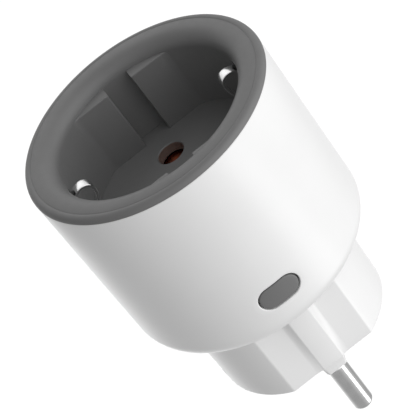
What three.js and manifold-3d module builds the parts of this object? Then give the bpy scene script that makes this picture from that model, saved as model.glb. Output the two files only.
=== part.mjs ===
// Round smart plug: a mains plug that goes into an earthed wall socket, with a switched
// socket in its other end, a push button in its side and its electronics between the two.
//
// Each piece is modelled on the plug's own axis, in millimetres: z = 0 is the face that meets
// the wall socket, +z runs towards the open socket, +x is the button's side and holds one pin,
// and the earth contacts lie along y. The last lines turn that axis into the part's frame.

import * as THREE from 'three';
import { mergeVertices } from 'three/addons/utils/BufferGeometryUtils.js';
import Module from 'manifold-3d';

const wasm = await Module();
wasm.setup();

// ---- driving dimensions, mm -----------------------------------------------------------

const GAP = 0.3;                 // clearance between pieces that touch in the real plug

// whole plug, along the axis
const RIM_Z = 65.3;              // socket rim face
const SHOULDER_Z = 21.5;         // underside of the wide body
const PIN_SPACING = 19;
const PIN_X = PIN_SPACING / 2;

// outer shell
const BODY_R = 26.25;
const SHELL_WALL = 1.9;
const SHOULDER_FILLET = 4.6;
const SHELL_TOP_Z = 63.8;
const SPIGOT_HOLE_R = 16.3;
const BOSS_AZIMUTHS = [60, 180, 300];
const BOSS_RADIUS = 20.4;        // distance of each board post from the axis
const BOSS_R = 2.4;

// grey socket insert
const RECESS_R = 19.75;
const RECESS_DEPTH = 18;
const FLOOR_T = 2.2;
const CUP_WALL = 1.85;
const RIM_INNER_ROUND = 3.1;
const RIM_FLAT_R = 25.05;        // where the flat rim face ends and its outer shoulder starts
const GUIDE_FLAT_X = 16.5;       // flats of the guide blocks in the recess
const GUIDE_TOP_DROP = 2.9;      // top of the guide blocks below the rim face
const GUIDE_GROOVE_HALF = 2.9;
const GUIDE_END_Y = 11.4;
const PIN_HOLE_R = 2.9;
const CLIP_SLOT_HALF = 1.5;      // slots the earth springs stand in
const CLIP_SLOT_TOP_Z = 61.3;

// plug base
const BASE_END_R = 19.03;
const BASE_TOP_R = 19.5;
const BASE_FLAT_END_X = 16.3;
const BASE_FLAT_TOP_X = 16.8;
const BASE_TOP_Z = SHOULDER_Z - GAP;
const BASE_EDGE_ROUND = 0.4;
const BASE_END_WALL = 2.4;
const RIB_HALF = 2.5;
const RIB_END_RISE = 0.35;       // how far the rib stands out of the flat at the end face
const RIB_TOP_RISE = 1.7;        // and at the shoulder
const CAVITY_R = 16.9;
const CAVITY_FLAT_X = 14.3;
const CAVITY_TOP_Z = 19.2;
const SPIGOT_R = 16;
const SPIGOT_BORE_R = 14.2;
const SPIGOT_TOP_Z = 25.2;
const PILLAR_R = 3.2;
const EARTH_GROOVE_HALF = 3;
const EARTH_PIN_HOLE_Y = 10;

// pins
const PIN_R = 2.4;
const PIN_LENGTH = 21.1;         // beyond the end face
const PIN_TIP_DOME = 1.6;
const PIN_SHANK_R = 1.7;         // the thinner length inside the insulating collar
const COLLAR_LENGTH = 6.5;
const COLLAR_ROOT_HALF = 3.5;    // half width of the flat-sided collar at the end face
const COLLAR_TIP_HALF = 2.5;
const COLLAR_CORNER_R = 0.7;

// button
const BUTTON_Z = 31.5;
const BUTTON_LENGTH = 8.6;       // round the body
const BUTTON_WIDTH = 4.8;        // along the axis
const BUTTON_GAP = 0.3;
const BUTTON_FACE_R = 26.15;

// electronics
const BOARD_Z = 27.2;
const BOARD_T = 1.6;
const BOARD_TOP = BOARD_Z + BOARD_T;
const BOARD_R = 22.2;
const FLOOR_TOP = RIM_Z - RECESS_DEPTH;
const FLOOR_UNDER = FLOOR_TOP - FLOOR_T;
const SIDE_BOARD_X = 18.0;
const SIDE_BOARD_T = 1.0;

// ---- finishes ---------------------------------------------------------------------------

const finish = (color, roughness, metalness = 0) =>
  new THREE.MeshStandardMaterial({ color, roughness, metalness });

const FINISH = {
  shellWhite: finish(0xe9e9ea, 0.42),
  socketGrey: finish(0x565657, 0.55),
  innerWhite: finish(0xd9d9d6, 0.6),
  nickel: finish(0xb9b9bb, 0.25, 1),
  spring: finish(0xd6d6d8, 0.2, 1),
  copper: finish(0xb4623a, 0.35, 1),
  steel: finish(0x9a9a9c, 0.35, 1),
  board: finish(0x1f5a36, 0.6),
  chip: finish(0x1b1b1d, 0.5),
  relay: finish(0x20242b, 0.45),
  capSleeve: finish(0x23242a, 0.4),
  filmYellow: finish(0xc9a53a, 0.5),
  varistorBlue: finish(0x2b4a86, 0.5),
  ceramic: finish(0xcfc8b8, 0.6),
};

// ---- geometry helpers -------------------------------------------------------------------

const pt = (a, b) => new THREE.Vector2(a, b);
const rad = THREE.MathUtils.degToRad;

// points on an arc from angle a0 to a1 (degrees) about (cx, cy), ry defaulting to r
function arc(cx, cy, r, a0, a1, steps, ry = r) {
  return Array.from({ length: steps + 1 }, (_, i) => {
    const a = rad(a0 + ((a1 - a0) * i) / steps);
    return pt(cx + r * Math.cos(a), cy + ry * Math.sin(a));
  });
}

// signed volume of a closed triangle list, positive when its faces point outwards
function signedVolume(position, index) {
  const a = new THREE.Vector3();
  const b = new THREE.Vector3();
  const c = new THREE.Vector3();
  let sum = 0;
  for (let i = 0; i < index.length; i += 3) {
    a.fromBufferAttribute(position, index[i]);
    b.fromBufferAttribute(position, index[i + 1]);
    c.fromBufferAttribute(position, index[i + 2]);
    sum += a.dot(b.cross(c)) / 6;
  }
  return sum;
}

// a solid from any closed three.js geometry
function solid(geometry) {
  const bare = geometry.index ? geometry.clone() : geometry;
  bare.deleteAttribute('normal');
  bare.deleteAttribute('uv');
  const merged = mergeVertices(bare, 1e-4);
  const position = merged.attributes.position;
  const index = [];
  for (let i = 0; i < merged.index.count; i += 3) {
    const [a, b, c] = [0, 1, 2].map((k) => merged.index.getX(i + k));
    if (a !== b && b !== c && a !== c) index.push(a, b, c);
  }
  if (signedVolume(position, index) < 0) index.reverse();
  return new wasm.Manifold(new wasm.Mesh({
    numProp: 3,
    vertProperties: new Float32Array(position.array),
    triVerts: new Uint32Array(index),
  }));
}

// a body of revolution about z from (radius, z) points that start and end on the axis,
// or close on themselves when ring is true
function revolve(profile, segments = 48, ring = false) {
  const points = ring ? [...profile, profile[0]] : profile;
  return solid(new THREE.LatheGeometry(points, segments).rotateX(Math.PI / 2));
}

// a round bar along z between two heights
function rod(r, z0, z1, segments = 32) {
  return revolve([pt(0, z0), pt(r, z0), pt(r, z1), pt(0, z1)], segments);
}

// a tube along z
function tube(rIn, rOut, z0, z1, segments = 48) {
  return revolve([pt(rIn, z0), pt(rOut, z0), pt(rOut, z1), pt(rIn, z1)], segments, true);
}

// a box from its lowest to its highest corner
function block([x0, y0, z0], [x1, y1, z1]) {
  const box = new THREE.BoxGeometry(x1 - x0, y1 - y0, z1 - z0);
  return solid(box.translate((x0 + x1) / 2, (y0 + y1) / 2, (z0 + z1) / 2));
}

// a flat outline in (u, v), extruded by depth along w
function plate(outline, depth) {
  return solid(new THREE.ExtrudeGeometry(new THREE.Shape(outline), { depth, bevelEnabled: false }));
}

// an outline in (y, z) centred on x = 0, given its width along x
function sideProfile(outline, width) {
  return plate(outline, width).translate([0, 0, -width / 2])
    .transform(columns([0, 1, 0], [0, 0, 1], [1, 0, 0]));
}

// a 4x4 transform with the given images of the three axes
function columns(x, y, z) {
  return [...x, 0, ...y, 0, ...z, 0, 0, 0, 0, 1];
}

// a pill lying across the body (long side along y) that runs out along x
function pill(length, width, x0, x1, steps = 8) {
  const r = width / 2;
  const half = length / 2 - r;
  const outline = [...arc(half, 0, r, -90, 90, steps), ...arc(-half, 0, r, 90, 270, steps)];
  return plate(outline, x1 - x0).transform(columns([0, 1, 0], [0, 0, 1], [1, 0, 0]))
    .translate([x0, 0, BUTTON_Z]);
}

// a bent metal strip: its centre line in (y, z), thickened and given a width along x
function strip(line, thickness, width) {
  const left = [];
  const right = [];
  line.forEach((p, i) => {
    const before = line[Math.max(i - 1, 0)];
    const after = line[Math.min(i + 1, line.length - 1)];
    const side = pt(before.y - after.y, after.x - before.x).setLength(thickness / 2);
    left.push(p.clone().add(side));
    right.push(p.clone().sub(side));
  });
  return sideProfile([...left, ...right.reverse()], width);
}

const merge = (solids) => solids.reduce((all, next) => all.add(next));
const spun = (body, degrees) => body.rotate([0, 0, degrees]);
const mirroredY = (body) => body.mirror([0, 1, 0]);

// ---- scene ------------------------------------------------------------------------------

const plug = new THREE.Group();

function addPiece(name, body, material) {
  const mesh = body.getMesh();
  const geometry = new THREE.BufferGeometry();
  geometry.setAttribute('position', new THREE.BufferAttribute(mesh.vertProperties, 3));
  geometry.setIndex(new THREE.BufferAttribute(mesh.triVerts, 1));
  geometry.computeVertexNormals();
  const piece = new THREE.Mesh(geometry, material);
  piece.name = name;
  plug.add(piece);
}

// ---- outer shell ------------------------------------------------------------------------

// the white cylinder with a rounded shoulder, open at the socket end
function housingShell() {
  const inner = BODY_R - SHELL_WALL;
  const innerFillet = SHOULDER_FILLET - SHELL_WALL;
  const floorTop = SHOULDER_Z + SHELL_WALL;
  const fillet = (r, steps) => arc(BODY_R - SHOULDER_FILLET, SHOULDER_Z + SHOULDER_FILLET, r, -90, 0, steps);
  const wall = revolve([
    pt(SPIGOT_HOLE_R, SHOULDER_Z), ...fillet(SHOULDER_FILLET, 7),
    pt(BODY_R, SHELL_TOP_Z), pt(inner, SHELL_TOP_Z),
    ...fillet(innerFillet, 4).reverse(), pt(SPIGOT_HOLE_R, floorTop),
  ], 72, true);
  const posts = BOSS_AZIMUTHS.map((azimuth) =>
    spun(rod(BOSS_R, floorTop - 0.5, BOARD_Z - GAP, 16).translate([BOSS_RADIUS, 0, 0]), azimuth));
  const screwHoles = BOSS_AZIMUTHS.map((azimuth) =>
    spun(rod(1.2, floorTop, BOARD_Z + 1, 12).translate([BOSS_RADIUS, 0, 0]), azimuth));
  const opening = pill(BUTTON_LENGTH + 2 * BUTTON_GAP, BUTTON_WIDTH + 2 * BUTTON_GAP, 20, 30);
  return merge([wall, ...posts]).subtract(merge([opening, ...screwHoles]));
}

// ---- socket insert ----------------------------------------------------------------------

// the grey rim, the recess that takes a plug, its guide blocks, clip slots and pin holes
function socketInsert() {
  const cupOuter = RECESS_R + CUP_WALL;
  const skirtOuter = BODY_R - SHELL_WALL - GAP;
  const ringUnder = SHELL_TOP_Z + GAP;
  const body = revolve([
    pt(0, FLOOR_TOP), ...arc(RECESS_R - 1, FLOOR_TOP + 1, 1, -90, 0, 3),
    ...arc(RECESS_R + RIM_INNER_ROUND, RIM_Z - RIM_INNER_ROUND, RIM_INNER_ROUND, 180, 90, 6),
    ...arc(RIM_FLAT_R, ringUnder, BODY_R - RIM_FLAT_R, 90, 0, 5, RIM_Z - ringUnder),
    pt(skirtOuter, ringUnder), pt(skirtOuter, 58.5), pt(22.6, 58.5), pt(22.6, 61.6),
    pt(cupOuter, 61.6), pt(cupOuter, FLOOR_UNDER + 1), pt(cupOuter - 1, FLOOR_UNDER),
    pt(0, FLOOR_UNDER),
  ], 72);
  const guideTop = RIM_Z - GUIDE_TOP_DROP;
  const guideLimit = rod(RECESS_R + 1, FLOOR_TOP - 1, guideTop, 48);
  const guides = [1, -1].flatMap((sx) => [1, -1].map((sy) => {
    const xs = [sx * GUIDE_FLAT_X, sx * (RECESS_R + 1)].sort((a, b) => a - b);
    const ys = [sy * GUIDE_GROOVE_HALF, sy * GUIDE_END_Y].sort((a, b) => a - b);
    return block([xs[0], ys[0], FLOOR_TOP - 1], [xs[1], ys[1], guideTop]).intersect(guideLimit);
  }));
  const slot = block([-CLIP_SLOT_HALF, 18.6, 43], [CLIP_SLOT_HALF, 22.25, CLIP_SLOT_TOP_Z]);
  const pinHole = rod(PIN_HOLE_R, 40, FLOOR_TOP + 1, 24);
  const cuts = merge([
    slot, mirroredY(slot),
    pinHole.translate([PIN_X, 0, 0]), pinHole.translate([-PIN_X, 0, 0]),
    rod(1.9, 40, FLOOR_TOP + 1, 20), rod(3.6, FLOOR_TOP - 1.4, FLOOR_TOP + 1, 28),
  ]);
  return merge([body, ...guides]).subtract(cuts);
}

// ---- plug base --------------------------------------------------------------------------

// what is cut off one side of the base to leave its flat, with the rib standing out of it;
// the flat and the rib both taper to the end face
function baseSideCut() {
  const far = 30;
  const section = (z, flatX, rise) => {
    const upperHalf = [[far, 12], [flatX, 12], [flatX, 4.1], [flatX + rise * 0.12, 3.4],
      [flatX + rise * 0.4, 2.85], [flatX + rise, RIB_HALF]];
    const lowerHalf = upperHalf.map(([x, y]) => [x, -y]).reverse();
    return [...upperHalf, ...lowerHalf].map(([x, y]) => new THREE.Vector3(x, y, z));
  };
  const below = section(-1, BASE_FLAT_END_X, RIB_END_RISE);
  return loft(below, section(BASE_TOP_Z + 1, BASE_FLAT_TOP_X, RIB_TOP_RISE));
}

// a solid between two outlines with the same number of points, the first one lower
function loft(lower, upper) {
  const flat = (outline) => outline.map((p) => pt(p.x, p.y));
  const count = lower.length;
  const capFaces = THREE.ShapeUtils.triangulateShape(flat(lower), []);
  const index = [];
  for (const [a, b, c] of capFaces) {
    index.push(a, c, b, a + count, b + count, c + count);
  }
  for (let i = 0; i < count; i += 1) {
    const j = (i + 1) % count;
    index.push(i, j, j + count, i, j + count, i + count);
  }
  const geometry = new THREE.BufferGeometry();
  geometry.setFromPoints([...lower, ...upper]);
  geometry.setIndex(index);
  return solid(geometry);
}

// flat-sided sleeve round the root of a pin, tapering away from the end face
function pinCollar() {
  const section = (half, z) => {
    const flat = half - COLLAR_CORNER_R;
    const corners = [[flat, flat, 0], [-flat, flat, 90], [-flat, -flat, 180], [flat, -flat, 270]];
    return corners.flatMap(([x, y, start]) => arc(x, y, COLLAR_CORNER_R, start, start + 90, 3))
      .map((p) => new THREE.Vector3(p.x, p.y, z));
  };
  const taper = (COLLAR_ROOT_HALF - COLLAR_TIP_HALF) / COLLAR_LENGTH;
  const buried = 1;
  const root = section(COLLAR_ROOT_HALF + taper * buried, buried);
  return loft(section(COLLAR_TIP_HALF, -COLLAR_LENGTH), root);
}

function plugBase() {
  const outer = revolve([
    pt(0, 0), ...arc(BASE_END_R - BASE_EDGE_ROUND, BASE_EDGE_ROUND, BASE_EDGE_ROUND, -90, 0, 3),
    pt(BASE_TOP_R, BASE_TOP_Z), pt(0, BASE_TOP_Z),
  ], 64);
  const sideCut = baseSideCut();
  const shaped = outer.subtract(sideCut).subtract(spun(sideCut, 180));
  const cavity = rod(CAVITY_R, BASE_END_WALL, CAVITY_TOP_Z, 48)
    .intersect(block([-CAVITY_FLAT_X, -20, 0], [CAVITY_FLAT_X, 20, CAVITY_TOP_Z]));
  const spigotBore = rod(SPIGOT_BORE_R, CAVITY_TOP_Z - 1, SPIGOT_TOP_Z + 1, 48);
  const pinBore = rod(PIN_SHANK_R + GAP, -COLLAR_LENGTH - 1, BASE_END_WALL + 1, 20);
  const earthGroove = block([-EARTH_GROOVE_HALF, 17.7, 3], [EARTH_GROOVE_HALF, 22, 18.6]);
  const earthWindow = block([-2.2, 12, 15.0], [2.2, 18, 17.6]);
  const both = (body) => [body.translate([PIN_X, 0, 0]), body.translate([-PIN_X, 0, 0])];
  return shaped
    .add(rod(SPIGOT_R, BASE_TOP_Z - 0.5, SPIGOT_TOP_Z, 48))
    .subtract(cavity).subtract(spigotBore)
    .add(rod(PILLAR_R, BASE_END_WALL - 0.5, FLOOR_UNDER - GAP, 24))
    .add(merge(both(pinCollar())))
    .subtract(merge([
      ...both(pinBore), rod(1.9, 26, FLOOR_UNDER, 16),
      rod(PIN_HOLE_R, -1, BASE_END_WALL + 1, 24).translate([0, EARTH_PIN_HOLE_Y, 0]),
      earthGroove, mirroredY(earthGroove), earthWindow, mirroredY(earthWindow),
    ]));
}

// ---- mains metalwork --------------------------------------------------------------------

// one plug pin: rounded tip, bare length, thinner shank through the collar, inner head
function plugPin() {
  const shoulder = -COLLAR_LENGTH - GAP;
  const tipZ = -PIN_LENGTH;
  return revolve([
    pt(0, tipZ), ...arc(0, tipZ + PIN_TIP_DOME, PIN_R, -75, 0, 5, PIN_TIP_DOME),
    pt(PIN_R, shoulder), pt(PIN_SHANK_R, shoulder),
    pt(PIN_SHANK_R, BASE_END_WALL + GAP), pt(3, BASE_END_WALL + GAP), pt(3, 4.4),
    pt(PIN_SHANK_R, 4.4), pt(PIN_SHANK_R, 7.5), pt(0, 7.5),
  ], 28);
}

// strip from a pin's inner head up to the main board
function inletStrip() {
  const foot = block([-1.5, -1.5, 7.8], [1.5, 1.5, 8.5]);
  return foot.add(block([-1.5, -1.5, 7.8], [-0.8, 1.5, BOARD_Z - GAP]));
}

// split sleeve that grips the pin of whatever is plugged in, with a leg down to the board
function socketContact() {
  const sleeve = tube(2.6, 3.3, 33, FLOOR_UNDER - 0.45, 24);
  const split = block([-0.6, -4, 36], [0.6, 4, FLOOR_UNDER]);
  const leg = block([-1.5, 2.7, BOARD_TOP + GAP], [1.5, 3.25, 34]);
  return sleeve.subtract(split).add(leg);
}

// plastic block under the recess floor that holds both sleeves
function contactCarrier() {
  const bar = block([-14.2, -4.9, 34.2], [14.2, 4.9, 42.2]);
  const pocket = rod(3.3 + GAP, 33, 43, 24);
  const legWay = block([-1.9, 2.4, 33], [1.9, 3.7, 36]);
  return bar.subtract(merge([
    pocket.translate([PIN_X, 0, 0]), pocket.translate([-PIN_X, 0, 0]),
    legWay.translate([PIN_X, 0, 0]), legWay.translate([-PIN_X, 0, 0]),
    rod(PILLAR_R + GAP, 33, 43, 24),
  ]));
}

// bowed spring in the recess wall that meets the side contact of the plug put into it, as a
// centre line in (y, z) from its root to its hooked end
const CLIP_WIDTH = 2.4;
const CLIP_T = 0.6;
const CLIP_LINE = [
  pt(20.7, 43.8), pt(20.65, 47.2), pt(19.6, 50.1), pt(17.7, 53.4), pt(16.3, 56.2), pt(15.75, 58),
  pt(15.8, 59.4), pt(16.3, 60.2), pt(17.2, 60.57), pt(18.2, 60.5), pt(19.1, 60.1), pt(19.9, 59.3),
];

// contact on the side of the plug base, with a tab through its wall
function sideContact() {
  const face = block([-2.6, 18.1, 3.4], [2.6, 18.75, 18.1]);
  const lead = block([-2.6, 18.1, 3.4], [2.6, 18.4, 3.9]);
  const tab = block([-1.8, 14.05, 15.9], [1.8, 18.4, 16.6]);
  return merge([face, lead, tab]);
}

// strap from a side contact of the plug up to the earth spring of the socket
function earthStrap() {
  return strip([pt(13.4, 14.6), pt(13.4, 42.2), pt(14.1, 43.1), pt(20.9, 43.1)], 0.6, 4);
}

// sleeve behind the third hole of the end face, for sockets that carry an earth pin
function earthPinContact() {
  const sleeve = tube(2.95, 3.5, BASE_END_WALL + GAP, 13.5, 24);
  return sleeve.subtract(block([-5, -0.5, 5], [5, 0.5, 15])).translate([0, EARTH_PIN_HOLE_Y, 0]);
}

// ---- fasteners --------------------------------------------------------------------------

// long screw through the recess floor into the pillar: it clamps the insert, shell and base
function centreScrew() {
  const headTop = FLOOR_TOP - 0.25;
  const bar = block([-1.9, -0.4, headTop - 0.8], [1.9, 0.4, headTop + 1]);
  const drive = bar.add(spun(bar, 90));
  return revolve([
    pt(0, 27), pt(0.7, 27), pt(1.5, 28.5), pt(1.5, FLOOR_TOP - 1.1), pt(3.2, FLOOR_TOP - 1.1),
    ...arc(2.6, headTop - 0.45, 0.6, 0, 90, 2, 0.45), pt(0, headTop),
  ], 24).subtract(drive);
}

function boardScrew() {
  const head = BOARD_TOP + GAP;
  const drive = block([-1.3, -0.25, head + 0.7], [1.3, 0.25, head + 2]);
  return revolve([
    pt(0, 24), pt(0.85, 24.6), pt(0.85, head), pt(1.9, head), pt(1.9, head + 0.7),
    pt(1.3, head + 1.2), pt(0, head + 1.2),
  ], 16).subtract(drive);
}

// ---- button and its switch --------------------------------------------------------------

// cap flush with the shell, with a flange behind the wall and a stem towards the switch
function buttonCap() {
  const face = pill(BUTTON_LENGTH, BUTTON_WIDTH, 20, 30, 8)
    .intersect(tube(23.5, BUTTON_FACE_R, 20, 45, 96));
  const flange = pill(BUTTON_LENGTH + 1.9, BUTTON_WIDTH + 1.9, 20, 30, 8)
    .intersect(tube(23.1, BODY_R - SHELL_WALL - GAP, 20, 45, 96));
  const stem = block([22.4, -1.2, BUTTON_Z - 1.2], [23.7, 1.2, BUTTON_Z + 1.2]);
  return merge([face, flange, stem]);
}

const SWITCH_HALF = 2.25;
const SWITCH_BACK_X = SIDE_BOARD_X + SIDE_BOARD_T + GAP;

function alongX(body) {
  return body.rotate([0, 90, 0]).translate([0, 0, BUTTON_Z]);
}

function switchBody() {
  const can = block([SWITCH_BACK_X, -SWITCH_HALF, BUTTON_Z - SWITCH_HALF],
    [21.2, SWITCH_HALF, BUTTON_Z + SWITCH_HALF]);
  return can.subtract(alongX(rod(1.5, 19.9, 22, 16)));
}

const switchPlunger = () => alongX(rod(1.15, 20.6, 22.1, 16));

// ---- boards and components --------------------------------------------------------------

function mainBoard() {
  const disc = rod(BOARD_R, BOARD_Z, BOARD_TOP, 48);
  const strapSlot = block([-2.5, 12.7, 26], [2.5, 14.6, 30]);
  const screwHole = (azimuth) => spun(rod(1.2, 26, 30, 12).translate([BOSS_RADIUS, 0, 0]), azimuth);
  return disc.subtract(merge([
    rod(PILLAR_R + GAP + 0.2, 26, 30, 24), strapSlot, mirroredY(strapSlot), ...BOSS_AZIMUTHS.map(screwHole),
  ]));
}

const ON_BOARD = BOARD_TOP + GAP;
const onBoard = (x0, y0, x1, y1, height) => block([x0, y0, ON_BOARD], [x1, y1, ON_BOARD + height]);

// relay: a cover open underneath, over a coil and the armature that the coil pulls
const RELAY = { x0: -17.2, x1: -2.9, y0: 5.9, y1: 15.3, height: 13.6, wall: 0.8 };

function relayCover() {
  const { x0, x1, y0, y1, height, wall } = RELAY;
  const hollow = block([x0 + wall, y0 + wall, ON_BOARD - 1],
    [x1 - wall, y1 - wall, ON_BOARD + height - wall]);
  return onBoard(x0, y0, x1, y1, height).subtract(hollow);
}

function relayCoil() {
  const { x0, y0, y1 } = RELAY;
  const middle = [x0 + 5.4, (y0 + y1) / 2, 0];
  return merge([rod(3.4, ON_BOARD, ON_BOARD + 0.8, 20), rod(2.8, ON_BOARD, ON_BOARD + 8, 20),
    rod(3.4, ON_BOARD + 7.2, ON_BOARD + 8, 20)]).translate(middle);
}

const ARMATURE_Z = ON_BOARD + 8.9;
const ARMATURE_HINGE_X = RELAY.x1 - 3.4;

function relayArmature() {
  const y0 = RELAY.y0 + 1.8;
  const y1 = RELAY.y1 - 1.8;
  const blade = block([RELAY.x0 + 1.6, y0, ARMATURE_Z], [ARMATURE_HINGE_X + 0.8, y1, ARMATURE_Z + 0.7]);
  const tail = block([ARMATURE_HINGE_X, y0, ARMATURE_Z - 5], [ARMATURE_HINGE_X + 0.8, y1, ARMATURE_Z + 0.7]);
  return blade.add(tail);
}

function relayYoke() {
  const y0 = RELAY.y0 + 1.6;
  const y1 = RELAY.y1 - 1.6;
  return block([ARMATURE_HINGE_X - 1.6, y0, ON_BOARD + 1.1], [ARMATURE_HINGE_X - 0.6, y1, ON_BOARD + 7.9]);
}

// upright can with a bead near its foot
function canCapacitor(r, height) {
  return revolve([
    pt(0, ON_BOARD), pt(r, ON_BOARD), pt(r, ON_BOARD + 1.2), pt(r - 0.35, ON_BOARD + 1.6),
    pt(r, ON_BOARD + 2), pt(r, ON_BOARD + height - 0.4), pt(r - 0.4, ON_BOARD + height),
    pt(0, ON_BOARD + height),
  ], 24);
}

// bobbin with a wound waist
function drumInductor() {
  return revolve([
    pt(0, ON_BOARD), pt(3.6, ON_BOARD), pt(3.6, ON_BOARD + 0.9), pt(3.1, ON_BOARD + 0.9),
    pt(3.1, ON_BOARD + 6), pt(3.6, ON_BOARD + 6), pt(3.6, ON_BOARD + 7), pt(0, ON_BOARD + 7),
  ], 20);
}

// disc on edge, along y
function varistor() {
  const r = 4.6;
  return rod(r, -1.7, 1.7, 24).rotate([90, 0, 0]).translate([9, -10.6, ON_BOARD + r + 0.4]);
}

function fuse() {
  return rod(1.5, 0, 8.5, 16).rotate([0, 90, 0]).translate([-5, 18.6, ON_BOARD + 1.7]);
}

// U of resistance metal between two board pads
function shunt() {
  const outline = [
    pt(-4, 0), pt(-3.2, 0), pt(-3.2, 2.6), pt(3.2, 2.6), pt(3.2, 0), pt(4, 0), pt(4, 3.4), pt(-4, 3.4),
  ];
  return sideProfile(outline, 1.6).translate([-18.4, 6.6, ON_BOARD]);
}

function shieldCan() {
  const can = block([15.1, -6, 30.6], [16.8, 6, 40.4]);
  return can.subtract(block([15.5, -5.6, 31], [17, 5.6, 40]));
}

// ---- assembly ---------------------------------------------------------------------------

addPiece('housing_shell', housingShell(), FINISH.shellWhite);
addPiece('socket_insert', socketInsert(), FINISH.socketGrey);
addPiece('plug_base', plugBase(), FINISH.shellWhite);

for (const [name, x] of [['line', PIN_X], ['neutral', -PIN_X]]) {
  addPiece(`${name}_pin`, plugPin().translate([x, 0, 0]), FINISH.nickel);
  addPiece(`${name}_inlet_strip`, inletStrip().translate([x, 0, 0]), FINISH.copper);
  addPiece(`${name}_socket_contact`, socketContact().translate([x, 0, 0]), FINISH.copper);
}

for (const [name, place] of [['upper', (body) => body], ['lower', mirroredY]]) {
  addPiece(`${name}_earth_spring`, place(strip(CLIP_LINE, CLIP_T, CLIP_WIDTH)), FINISH.spring);
  addPiece(`${name}_side_contact`, place(sideContact()), FINISH.spring);
  addPiece(`${name}_earth_strap`, place(earthStrap()), FINISH.spring);
}
addPiece('earth_pin_contact', earthPinContact(), FINISH.copper);
addPiece('contact_carrier', contactCarrier(), FINISH.innerWhite);

addPiece('centre_screw', centreScrew(), FINISH.steel);
BOSS_AZIMUTHS.forEach((azimuth, i) => {
  addPiece(`board_screw_${i + 1}`, spun(boardScrew().translate([BOSS_RADIUS, 0, 0]), azimuth), FINISH.steel);
});

addPiece('button_cap', buttonCap(), FINISH.socketGrey);
addPiece('switch_body', switchBody(), FINISH.chip);
addPiece('switch_plunger', switchPlunger(), FINISH.innerWhite);

addPiece('main_board', mainBoard(), FINISH.board);
const sideBoard = block([SIDE_BOARD_X, -8, ON_BOARD], [SIDE_BOARD_X + SIDE_BOARD_T, 8, 43.4]);
addPiece('side_board', sideBoard, FINISH.board);
addPiece('radio_module_board', block([17.1, -7.2, 30], [SIDE_BOARD_X - GAP, 7.2, 43]), FINISH.chip);
addPiece('radio_shield', shieldCan(), FINISH.steel);
addPiece('relay_cover', relayCover(), FINISH.relay);
addPiece('relay_coil', relayCoil(), FINISH.copper);
addPiece('relay_yoke', relayYoke(), FINISH.steel);
addPiece('relay_armature', relayArmature(), FINISH.steel);
addPiece('bulk_capacitor', canCapacitor(4, 12).translate([-7.6, -12.2, 0]), FINISH.capSleeve);
addPiece('output_capacitor', canCapacitor(3.1, 9).translate([-15.6, -9.6, 0]), FINISH.capSleeve);
addPiece('film_capacitor', onBoard(3.2, 6.2, 14.8, 11.6, 10.5), FINISH.filmYellow);
addPiece('drum_inductor', drumInductor().translate([2.6, -18.2, 0]), FINISH.capSleeve);
addPiece('varistor', varistor(), FINISH.varistorBlue);
addPiece('fuse', fuse(), FINISH.ceramic);
addPiece('current_shunt', shunt(), FINISH.copper);
addPiece('bridge_rectifier', onBoard(4.4, 13, 9.2, 15.6, 2.4), FINISH.chip);
addPiece('supply_chip', onBoard(-14, -4.2, -9, -0.3, 1.6), FINISH.chip);
addPiece('metering_chip', onBoard(-17.2, 0.4, -11.8, 4.8, 1.6), FINISH.chip);

// the plug axis lies along Y, its wall side towards +Y, with the button on the +X side
plug.rotation.x = Math.PI / 2;

export default plug;
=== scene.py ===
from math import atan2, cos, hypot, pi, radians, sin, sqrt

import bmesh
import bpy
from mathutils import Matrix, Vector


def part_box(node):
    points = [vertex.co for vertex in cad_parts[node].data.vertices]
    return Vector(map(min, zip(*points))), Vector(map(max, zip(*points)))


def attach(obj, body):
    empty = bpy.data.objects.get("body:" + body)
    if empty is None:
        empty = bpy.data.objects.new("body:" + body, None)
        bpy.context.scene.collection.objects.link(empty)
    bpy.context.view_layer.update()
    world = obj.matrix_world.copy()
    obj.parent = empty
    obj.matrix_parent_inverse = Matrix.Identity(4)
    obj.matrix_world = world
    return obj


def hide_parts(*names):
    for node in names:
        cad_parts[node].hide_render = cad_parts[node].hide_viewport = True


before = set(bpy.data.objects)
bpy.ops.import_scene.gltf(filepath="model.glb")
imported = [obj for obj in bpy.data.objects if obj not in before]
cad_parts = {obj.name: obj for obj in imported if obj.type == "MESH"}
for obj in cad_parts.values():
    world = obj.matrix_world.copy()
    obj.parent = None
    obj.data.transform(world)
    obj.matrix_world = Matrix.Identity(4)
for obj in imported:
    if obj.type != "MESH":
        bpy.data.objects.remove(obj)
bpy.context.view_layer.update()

# Round smart plug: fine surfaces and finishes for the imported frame.
#
# Shapes are made in millimetres on the plug's own axis: z runs from the face that meets the wall
# socket to the open socket's rim, x points to the button and holds both pins, and the earth
# contacts lie along y. FRAME_FROM_AXIS turns that axis into the part's frame, in metres.

MM = 0.001
FRAME_FROM_AXIS = Matrix.Rotation(pi / 2, 4, "X") @ Matrix.Scale(MM, 4)


# ---- driving dimensions, mm -------------------------------------------------------------

def axis_span(node):
    """Where a CAD node starts and ends along the plug's axis."""
    low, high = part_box(node)
    return -high.y / MM, -low.y / MM


BODY_R = -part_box("housing_shell")[0].x / MM
SHOULDER_Z = axis_span("housing_shell")[0]
INSERT_UNDER_Z, RIM_Z = axis_span("socket_insert")
PIN_TIP_Z, PIN_HEAD_Z = axis_span("line_pin")
PIN_X = (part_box("line_pin")[0].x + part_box("line_pin")[1].x) / 2 / MM
COLLAR_TIP_Z, PILLAR_TOP_Z = axis_span("plug_base")
SIDE_CONTACT_Z = axis_span("upper_side_contact")
SOCKET_CONTACT_Z = axis_span("line_socket_contact")
EARTH_SLEEVE_Z = axis_span("earth_pin_contact")

SEAM = 0.05                      # what still shows between two mouldings that touch

# outer shell
SHELL_WALL = 1.9
SHOULDER_FILLET = 4.6
SHELL_TOP_ROUND = 0.2
SPIGOT_HOLE_R = 16.3

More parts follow.
